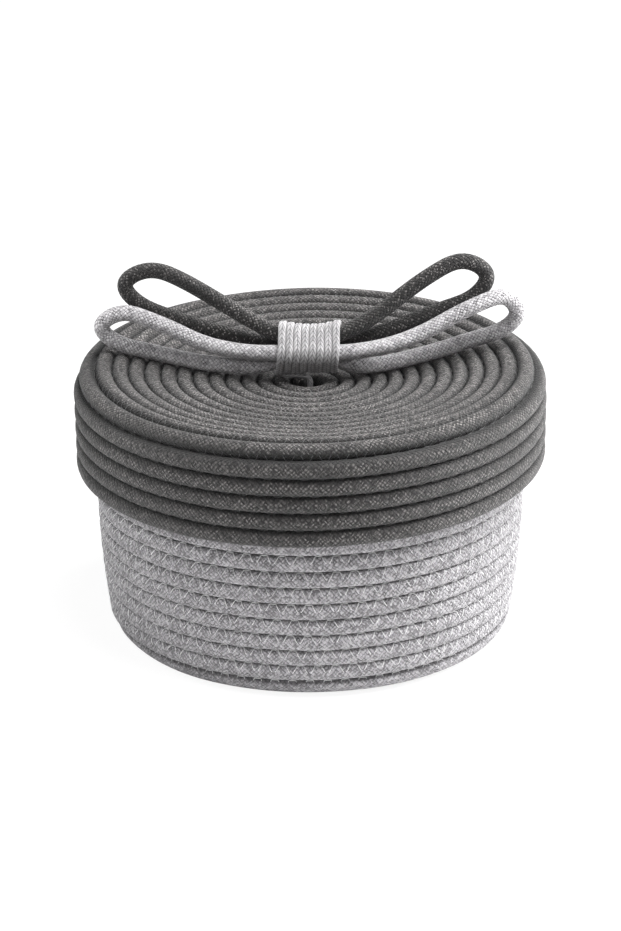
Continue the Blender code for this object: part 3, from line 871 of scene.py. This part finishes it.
# A spline through points whose bends change evenly, so that tight loops stay round.
def evenLine(points, spacing):
    points = np.array([tuple(p) for p in points])
    runs = runsOf(points)
    stations = np.concatenate([[0], np.cumsum(runs)])
    matrix, wanted = np.eye(len(points)), np.zeros_like(points)
    for k in range(1, len(points) - 1):
        matrix[k, k - 1:k + 2] = runs[k - 1], 2 * (runs[k - 1] + runs[k]), runs[k]
        wanted[k] = 6 * ((points[k + 1] - points[k]) / runs[k]
                         - (points[k] - points[k - 1]) / runs[k - 1])
    bends = np.linalg.solve(matrix, wanted)
    along = np.linspace(0, stations[-1], round(stations[-1] / spacing) + 1)
    k = np.clip(np.searchsorted(stations, along, "right") - 1, 0, len(runs) - 1)
    h = runs[k][:, None]
    b = (along - stations[k])[:, None] / h
    a = 1 - b
    return (a * points[k] + b * points[k + 1]
            + ((a ** 3 - a) * bends[k] + (b ** 3 - b) * bends[k + 1]) * h * h / 6)


# A direction square to a line everywhere. It stays nearest to the first one for so many points
# and is then carried along without twist.
def carriedSide(places, first, held=0):
    headings = np.gradient(places, axis=0)
    headings /= np.linalg.norm(headings, axis=1)[:, None]
    side, sides = np.array(first, float), []
    for k, heading in enumerate(headings):
        side = np.array(first, float) if k < held else side
        side = side - heading * side.dot(heading)
        side /= np.linalg.norm(side)
        sides.append(side.copy())
    return np.array(sides), headings


# One rope of the bow: from its joint in the binding round the right loop, back through the
# binding beside itself, and round the left loop to the joint again.
def bowLine(jointCorner, middleCorner, rightLoop, leftLoop, s):
    def strand(corner, start, end):
        y, z = Vector(corner) * strandOffset
        isTop = corner[1] > 0
        return [Vector((x, y, z + saddleLift(x, s) * isTop))
                for x in (start, (start + end) / 2, end)]

    reach, gap = s["strandReach"], s["buttGap"] / 2
    points = strand(jointCorner, gap, reach) + [Vector(p) * mm for p in rightLoop]
    points += strand(middleCorner, reach, -reach) + [Vector(p) * mm for p in leftLoop]
    points += strand(jointCorner, -reach, -gap)
    places = evenLine(points, s["lineStep"]) + np.array([0, 0, bowLevel])
    across, headings = carriedSide(places, (0, 1, 0))
    outward = np.cross(across, headings)
    return settled(dict(places=places, across=across, outward=outward), lidSettings)


bowRope = dict(Step=0.7 * mm, HalfWidth=3.85 * mm, HalfHeight=3.85 * mm, Squareness=2.0, Lean=0.0,
               Sides=48, Wander=0.15 * mm, WanderSize=20 * mm, WanderSeed=11.0, Relief=0.2 * mm)
darkLine = bowLine((1, 0), (0, 1), darkRightLoop, darkLeftLoop, bowSettings)
lightLine = bowLine((0, -1), (-1, 0), lightRightLoop, lightLeftLoop, bowSettings)
darkBow = grow("bow_dark", withRoundEnds(darkLine, bowEnd), bowSweep,
               dict(bowRope, Material=bowDark))
lightBow = grow("bow_light", withRoundEnds(lightLine, bowEnd), bowSweep,
                dict(bowRope, Material=bowLight))
print("bow tied")


# The turns round the four strands, from the binding's right end to its left.
def bindingTurns(s):
    quarters = round(4 * s["turns"])
    turns = []
    for quarter in range(quarters + 1):
        heading = quarter * math.pi / 2
        for lean in np.linspace(-1, 1, s["cornerPoints"]) * s["cornerLean"]:
            angle = heading + lean
            x = s["turnPitch"] / 4 * (quarters / 2 - angle / (math.pi / 2))
            y = strandOffset * math.cos(heading) + wrapRadius * math.cos(angle)
            z = strandOffset * math.sin(heading) + wrapRadius * math.sin(angle)
            isTop = quarter % 4 == 1
            turns.append((x, y, bowLevel + z + saddleLift(x, s) * isTop))
    return turns


# The cord's end under the lid: straight down, up again in a tight bend, and round itself.
def knotPoints(s):
    step = math.tau / s["knotSteps"]
    radius = cordPitch / math.cos(step / 2)
    top = -lidSettings["dishDepth"] - seat
    coilBottom = top - s["knotTurns"] * cordPitch
    bend = radius / 2
    low = coilBottom - bend
    points = [(0, 0, top), (0, 0, (top + low) / 2), (0, 0, low)]
    points += [(bend + bend * math.cos(a), 0, low + bend * math.sin(a))
               for a in np.linspace(math.pi, math.tau, s["bendPoints"])[1:]]
    for k in range(1, round(s["knotTurns"] * s["knotSteps"]) + 1):
        height = coilBottom + cordPitch * k / s["knotSteps"] - bend * max(0, 1 - k / 2)
        points.append((radius * math.cos(k * step), radius * math.sin(k * step), height))
    last, before = Vector(points[-1]), Vector(points[-2])
    points.append(tuple(last + (last - before).normalized() * s["cordDiameter"]))
    return points


def bindingLine(s):
    turns = bindingTurns(s)
    runLevel = bowLevel - bindingDepth
    tail = [(x * mm, y * mm, z * mm + runLevel) for x, y, z in tailPoints]
    wound = smoothLine(turns, s["turnSteps"])
    ending = smoothLine([turns[-1], *tail, *knotPoints(s)], s["tailSteps"])
    places = np.concatenate([wound[:-1], ending])
    held = s["turnSteps"] * len(turns)
    across, headings = carriedSide(places, (1, 0, 0), held)
    thinning = [held + steps for steps in s["thinning"]]
    girth = np.interp(np.arange(len(places)), thinning, [1, s["tailGirth"]])
    outward = np.cross(across, headings)
    return settled(dict(places=places, across=across, outward=outward, girth=girth), lidSettings)


bindingCord = dict(Step=0.5 * mm, HalfWidth=1.85 * mm, HalfHeight=1.3 * mm, Squareness=3.0,
                   Lean=0.0, Sides=26, Wander=0.12 * mm, WanderSize=12 * mm, WanderSeed=13.0,
                   Relief=0.22 * mm, Material=bindingLook)
binding = grow("bow_binding", withRoundEnds(bindingLine(bowSettings), cordEnd), cordSweep,
               bindingCord)
print("binding wound")

for piece, body, slotName, nodes in (
        (basketCoil, "basket", "light_rope", ("floor_coil", "wall_coil")),
        (basketThread, "basket", "light_rope", ()),
        (basketInsideThread, "basket", "light_rope", ()),
        (lidCoil, "lid", "dark_rope", ("lid_top_coil", "lid_skirt_coil")),
        (lidThread, "lid", "dark_rope", ()),
        (lidInsideThread, "lid", "dark_rope", ()),
        (darkBow, "lid", "dark_rope", ("bow_dark_rope",)),
        (lightBow, "lid", "light_rope", ("bow_light_rope",)),
        (binding, "lid", "binding_cord", ("bow_binding_cord",))):
    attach(piece, body)
    if nodes:
        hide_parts(*nodes)

bpy.context.scene.view_settings.view_transform = "Standard"
